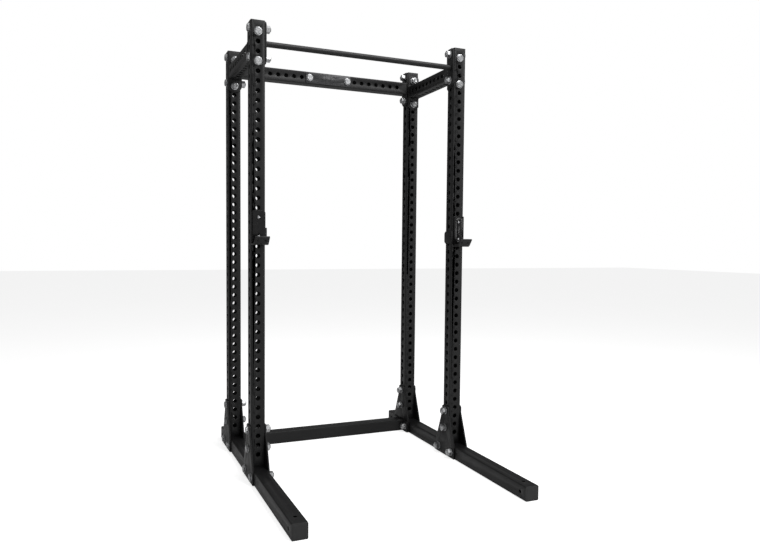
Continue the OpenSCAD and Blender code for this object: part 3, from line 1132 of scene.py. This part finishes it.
@dataclass
class Fasteners:
    """Every group of frame bolts, washers and nuts."""

    finishes: Finishes
    shop: FastenerShop = field(default_factory=FastenerShop)
    groups: tuple[str, ...] = (
        "left_gusset", "right_gusset", "side_crossmember", "rear_crossmember", "pull_up_bar", "name_plate",
    )
    seed: int = 11

    def build(self) -> None:
        """Build the groups."""
        chance = random.Random(self.seed)
        nut = self.shop.nut_master()
        washer = self.shop.washer_master()
        for group in self.groups:
            self.fill(f"{group}_bolts", self.bolt_for, True, chance)
            self.fill(f"{group}_washers", lambda height: washer, False, chance)
            self.fill(f"{group}_nuts", lambda height: nut, False, chance)
        for master in (nut, washer):
            bpy.data.objects.remove(master)
        self.shop.clear()

    def bolt_for(self, height: float) -> bpy.types.Object:
        """The bolt master of a length."""
        return self.shop.bolt_master(height)

    def fill(
        self, node: str, master: Callable[[float], bpy.types.Object], long: bool, chance: random.Random
    ) -> None:
        """Put a detailed fastener in place of each solid of a CAD node.

        Args:
            node: The CAD node that groups the fasteners.
            master: Gives the shape for a height along its axis.
            long: Whether the axis is a solid's longest side, and not its shortest.
            chance: Source of the small turns about each axis.
        """
        parts = []
        for solid in self.solids(node):
            place, height = self.seat(solid, long)
            turn = Matrix.Rotation(chance.uniform(0, 2 * HEX_HALF), 4, "Z")
            parts.append(copy_of(master(height), place @ turn))
        piece = join(parts, f"{node}_set")
        self.finishes.dress(piece, Slot.ZINC, CAGE, node)

    def solids(self, node: str) -> list[list[Vector]]:
        """The points of each separate solid of a CAD node.

        Args:
            node: Name of the CAD node.

        Returns:
            The points of each solid, in the order of their middles.
        """
        mesh = merged_copy(node, "loose")
        before = set(bpy.data.objects)
        with editing(mesh):
            bpy.ops.mesh.select_all(action="SELECT")
            bpy.ops.mesh.separate(type="LOOSE")
        loose = [mesh, *(o for o in bpy.data.objects if o not in before)]
        points = [[vertex.co.copy() for vertex in o.data.vertices] for o in loose]
        for o in loose:
            bpy.data.objects.remove(o)
        return sorted(points, key=lambda group: tuple(round(v, 4) for v in self.middle(group)))

    def middle(self, points: list[Vector]) -> Vector:
        """Middle of the box round some points."""
        return Vector((min(p[n] for p in points) + max(p[n] for p in points)) / 2 for n in range(3))

    def seat(self, points: list[Vector], long: bool) -> tuple[Matrix, float]:
        """Find how a fastener sits.

        Args:
            points: The points of its CAD solid.
            long: Whether its axis is its longest side, and not its shortest.

        Returns:
            The placement of its local frame, and its height along its axis. A bolt's frame
            starts at its head and points to its tip.
        """
        middle = self.middle(points)
        sizes = [max(p[n] for p in points) - min(p[n] for p in points) for n in range(3)]
        axis = sizes.index(max(sizes) if long else min(sizes))
        along = Vector([1.0 if n == axis else 0.0 for n in range(3)])
        height = sizes[axis]
        if long and self.reach(points, middle, along) < self.reach(points, middle, -along):
            along = -along
        start = middle - along * height / 2
        turn = Vector((0, 0, 1)).rotation_difference(along).to_matrix().to_4x4()
        return Matrix.Translation(start) @ turn, height

    def reach(self, points: list[Vector], middle: Vector, along: Vector) -> float:
        """How wide a solid is near the end that it starts from, if it points along a direction.

        Args:
            points: The points of the solid.
            middle: Middle of the box round them.
            along: The direction that it would point in.

        Returns:
            The largest distance from the axis at that end.
        """
        heights = [(p - middle).dot(along) for p in points]
        start = min(heights)
        near = [p for p, h in zip(points, heights) if h - start < self.shop.edge]
        return max(((p - middle) - along * (p - middle).dot(along)).length for p in near)


# ------------------------------------------------------------------ cups


@dataclass(frozen=True)
class ScrewSize:
    """Sizes of a button-headed socket screw, its diameters first."""

    thread: float
    head: float
    head_h: float
    socket: float
    length: float
    bulge: float = 0.28
    crown_turns: tuple[float, ...] = (0.0, 0.35, 0.7, 1.05)
    rim_span: tuple[float, float] = (0.35, 0.1)
    seat_edge: float = 0.4 * MM
    tip: float = 1 * MM


@dataclass
class Cups:
    """The two lift-out cups with their liners, screws and pins."""

    finishes: Finishes
    lip_lean: float = 33 * MM
    lip_h: float = 40 * MM
    depth: float = 74 * MM
    floor: float = -144 * MM
    plate: float = 8 * MM
    seat_gap: float = 0.3 * MM
    cheek: float = 46 * MM
    bend: float = 6 * MM
    inner_bend: float = 3 * MM
    edge: float = 0.7 * MM
    liner_edge: float = 1.2 * MM
    liner_t: float = 10 * MM
    recess: float = 6 * MM
    second_screw: float = 100 * MM
    lip_screw_gap: float = 38 * MM
    pin_screw: ScrewSize = ScrewSize(10 * MM, 16 * MM, 5 * MM, 6 * MM, 22 * MM)
    back_screw: ScrewSize = ScrewSize(10 * MM, 16 * MM, 5 * MM, 6 * MM, 11 * MM)
    lip_screw: ScrewSize = ScrewSize(6 * MM, 11 * MM, 3.5 * MM, 4 * MM, 11 * MM)

    def build(self) -> None:
        """Build both cups."""
        for side in Side:
            self.build_cup(side)

    def origin(self, side: Side) -> Vector:
        """The pin's axis on the upright's front face."""
        low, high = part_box(f"{side.word}_cup_pin")
        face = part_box(f"front_{side.word}_upright")[0].y
        return Vector(((low.x + high.x) / 2, face, (low.z + high.z) / 2))

    def build_cup(self, side: Side) -> None:
        """Build one cup.

        Args:
            side: Which side's cup.
        """
        body = f"{side.word}_cup"
        self.build_bracket(side, body)
        for liner in ("back_liner", "rest_liner"):
            node = f"{body}_{liner}"
            piece = merged_copy(node, f"{node}_sheet")
            soften(piece, self.liner_edge, 3)
            self.finishes.dress(piece, Slot.LINER, body, node)
        self.build_screws(side, body)
        self.finishes.paint_node(f"{body}_pin", Slot.ZINC)

    def build_bracket(self, side: Side, body: str) -> None:
        """Build the bent plate, with true bend radii and eased edges.

        Args:
            side: The cup's side.
            body: The cup's body.
        """
        node = f"{body}_bracket"
        piece = merged_copy(node, f"{node}_plate")
        origin = self.origin(side)
        back = origin.y - self.seat_gap
        front = back - self.depth
        low = origin.z + self.floor
        lean = math.atan2(self.lip_lean, self.lip_h)
        inner_front = front + self.plate * math.tan(math.radians(45) - lean / 2)
        outer_bends = [(back, low), (front, low)]
        inner_bends = [(back - self.plate, low + self.plate), (inner_front, low + self.plate)]
        inwards = -side.value
        corner_x = origin.x + inwards * self.cheek

        def lies_on(bends: list[tuple[float, float]]) -> Callable[[Vector, Vector], bool]:
            """A test for edges along X that lie on one of the bends.

            Args:
                bends: The (y, z) place of each bend.

            Returns:
                The test, which takes the two ends of an edge.
            """
            return lambda a, b: any(
                all(abs(p.y - y) < self.seat_gap and abs(p.z - z) < self.seat_gap for p in (a, b))
                for y, z in bends
            )

        def on_cheek(a: Vector, b: Vector) -> bool:
            """Whether an edge is the outer corner between the back plate and the cheek.

            Args:
                a: One end of the edge.
                b: Its other end.

            Returns:
                Whether it is.
            """
            return all(
                abs(p.x - corner_x) < self.seat_gap and abs(p.y - (back - self.plate)) < self.seat_gap
                for p in (a, b)
            ) and abs(a.z - b.z) > self.plate

        for test, radius in (
            (lies_on(outer_bends), self.bend + self.inner_bend),
            (lies_on(inner_bends), self.inner_bend),
            (on_cheek, self.bend),
        ):
            found = pick(piece, Element.EDGE, test)
            LOG.info("%s: %d bend edges", node, found)
            with editing(piece, Element.EDGE):
                bpy.ops.mesh.bevel(offset=radius, segments=6)
        soften(piece, self.edge)
        self.finishes.dress(piece, Slot.COAT, body, node)

    def screw_master(self, size: ScrewSize) -> bpy.types.Object:
        """Button-headed socket screw: its head's seat is z = 0 and it points to +Z.

        Args:
            size: The screw's sizes.

        Returns:
            The screw.
        """
        r = size.head / 2
        shaft = size.thread / 2
        crown = [(r * math.sin(turn), r * size.bulge * (1 - math.cos(turn))) for turn in size.crown_turns]
        outline = [(x, z - size.head_h) for x, z in crown]
        outline += [(r, -size.head_h * share) for share in size.rim_span]
        outline += [(r - size.seat_edge, 0), (shaft, 0), (shaft, size.length - size.tip)]
        outline += [(shaft - size.tip, size.length), (0, size.length)]
        screw = turned("screw", outline, steps=32)
        floor = -size.head_h * size.rim_span[0]
        boolean(screw, hex_blank("socket", size.socket, -2 * size.head_h, floor), "DIFFERENCE")
        smooth(screw)
        return screw

    def build_screws(self, side: Side, body: str) -> None:
        """Put in the pin's screw, the lower back screw and the two lip screws.

        Args:
            side: The cup's side.
            body: The cup's body.
        """
        origin = self.origin(side)
        seat = -self.seat_gap - self.plate - self.liner_t + self.recess
        towards_rear = Matrix.Rotation(-math.pi / 2, 4, "X")
        lean = math.atan2(self.lip_lean, self.lip_h)
        long_screw = self.screw_master(self.pin_screw)
        back_screw = self.screw_master(self.back_screw)
        lip_screw = self.screw_master(self.lip_screw)
        pin_place = Matrix.Translation(origin + Vector((0, seat, 0))) @ towards_rear
        pin_screw = join([copy_of(long_screw, pin_place)], f"{body}_pin_screw_button")
        self.finishes.dress(pin_screw, Slot.ZINC, f"{side.word}_pin", f"{body}_pin_screw")
        back_place = Matrix.Translation(origin + Vector((0, seat, -self.second_screw))) @ towards_rear
        back = join([copy_of(back_screw, back_place)], f"{body}_back_screw_button")
        self.finishes.dress(back, Slot.ZINC, body, f"{body}_screws")
        screws = []
        lip = Vector((0, -self.seat_gap - self.depth - self.lip_lean / 2, self.floor + self.lip_h / 2))
        for end in (-1, 1):
            at = origin + lip + Vector((end * self.lip_screw_gap / 2, 0, 0))
            place = Matrix.Translation(at) @ Matrix.Rotation(lean, 4, "X") @ towards_rear
            screws.append(copy_of(lip_screw, place))
        for master in (long_screw, back_screw, lip_screw):
            bpy.data.objects.remove(master)
        lips = join(screws, f"{body}_lip_screw_buttons")
        self.finishes.dress(lips, Slot.COAT, body, f"{body}_screws")


# ------------------------------------------------------------------ studio


@dataclass(frozen=True)
class Softbox:
    """One rectangular studio light."""

    name: str
    at: tuple[float, float, float]
    aim: tuple[float, float, float]
    size: tuple[float, float]
    power: float

    def light(self) -> None:
        """Hang the light and aim it."""
        bpy.ops.object.light_add(type="AREA", location=self.at)
        lamp = bpy.context.object
        lamp.name = self.name
        lamp.data.shape = "RECTANGLE"
        lamp.data.size, lamp.data.size_y = self.size
        lamp.data.energy = self.power
        direction = Vector(self.aim) - Vector(self.at)
        lamp.rotation_euler = direction.to_track_quat("-Z", "Y").to_euler()


@dataclass
class Studio:
    """Pale floor, white surroundings, soft lights and the camera."""

    camera_at: tuple[float, float, float] = (-1.3957, -3.5369, 1.2504)
    heading: float = 23.227
    tilt: float = -2.905
    roll: float = 0.52
    lens: float = 32.0
    floor_size: float = 60.0
    glow: tuple[float, float] = (0.05, 0.72)
    sky: tuple[float, float] = (0.2, 1.0)
    boxes: tuple[Softbox, ...] = (
        Softbox("front_card", (0.6, -5.6, 2.0), (0, 0, 1.3), (5.0, 4.0), 45),
        Softbox("key", (1.4, -2.6, 5.0), (0, 0, 1.2), (2.0, 2.0), 110),
        Softbox("fill", (-4.2, -2.6, 2.4), (0, 0.3, 1.0), (2.0, 2.6), 12),
        Softbox("top", (0.2, 0.3, 4.6), (0, 0.3, 0), (3.4, 3.4), 45),
        Softbox("strip", (2.75, -3.7, 1.55), (0.6, 0, 1.35), (0.5, 0.9), 14),
    )

    def build(self) -> None:
        """Set up the studio."""
        self.lay_floor()
        self.light_world()
        for box in self.boxes:
            box.light()
        self.set_camera()
        bpy.context.scene.view_settings.view_transform = "Standard"
        LOG.info("studio: floor, %d lights and the camera", len(self.boxes))

    def lay_floor(self) -> None:
        """Lay the floor, which glows a little so that it stays white far away."""
        bpy.ops.mesh.primitive_plane_add(size=self.floor_size, location=(0, 0, 0))
        floor = bpy.context.object
        floor.name = "studio_floor"
        graph = Graph("studio_floor")
        shade = graph.noise(0.7, 2)
        tone = graph.ramp(shade, [(0.2, (0.86, 0.86, 0.86)), (0.8, (0.88, 0.88, 0.88))])
        graph.feed(graph.shader.inputs["Base Color"], tone)
        graph.shader.inputs["Roughness"].default_value = 0.9
        graph.shader.inputs["Specular IOR Level"].default_value = 0.1
        graph.shader.inputs["Emission Color"].default_value = (1, 1, 1, 1)
        graph.feed(graph.shader.inputs["Emission Strength"], self.seen_or_lit(graph.tree, self.glow))
        floor.data.materials.append(graph.material)

    def light_world(self) -> None:
        """Surround the cage with white that is bright to look at and softer as light."""
        world = bpy.data.worlds.new("studio_white")
        bpy.context.scene.world = world
        world.use_nodes = True
        tree = world.node_tree
        background = tree.nodes["Background"]
        background.inputs["Color"].default_value = (1, 1, 1, 1)
        tree.links.new(self.seen_or_lit(tree, self.sky), background.inputs["Strength"])

    def seen_or_lit(self, tree: bpy.types.NodeTree, levels: tuple[float, float]) -> bpy.types.NodeSocket:
        """Make a strength that is one value as light and another to look at.

        Args:
            tree: The node tree to add to.
            levels: The strength as light, and the strength to look at.

        Returns:
            The strength's output.
        """
        seen = tree.nodes.new("ShaderNodeLightPath").outputs["Is Camera Ray"]
        strength = tree.nodes.new("ShaderNodeMapRange")
        tree.links.new(seen, strength.inputs["Value"])
        strength.inputs["To Min"].default_value, strength.inputs["To Max"].default_value = levels
        return strength.outputs["Result"]

    def set_camera(self) -> None:
        """Place the camera by its heading from +Y, its tilt and its roll, in degrees."""
        heading, tilt, roll = (math.radians(v) for v in (self.heading, self.tilt, self.roll))
        level = Vector((math.sin(heading), math.cos(heading), 0))
        right = Vector((math.cos(heading), -math.sin(heading), 0))
        forward = level * math.cos(tilt) + Vector((0, 0, math.sin(tilt)))
        up = right.cross(forward)
        rolled_right = right * math.cos(roll) + up * math.sin(roll)
        rolled_up = up * math.cos(roll) - right * math.sin(roll)
        turn = Matrix((rolled_right, rolled_up, -forward)).transposed().to_4x4()
        bpy.ops.object.camera_add()
        camera = bpy.context.object
        camera.matrix_world = Matrix.Translation(self.camera_at) @ turn
        camera.data.lens = self.lens
        camera.data.sensor_width = 36.0
        bpy.context.scene.camera = camera


# ------------------------------------------------------------------ assembly


def main() -> None:
    """Build the cage's looks and the studio, in order."""
    logging.basicConfig(level=logging.INFO, format="%(name)s: %(message)s")
    Studio().build()
    finishes = Finishes()
    Uprights(finishes).build()
    Base(finishes).build()
    Crossmembers(finishes).build()
    NamePlate(finishes).build()
    Fasteners(finishes).build()
    Cups(finishes).build()


if __name__ == "__main__":
    main()
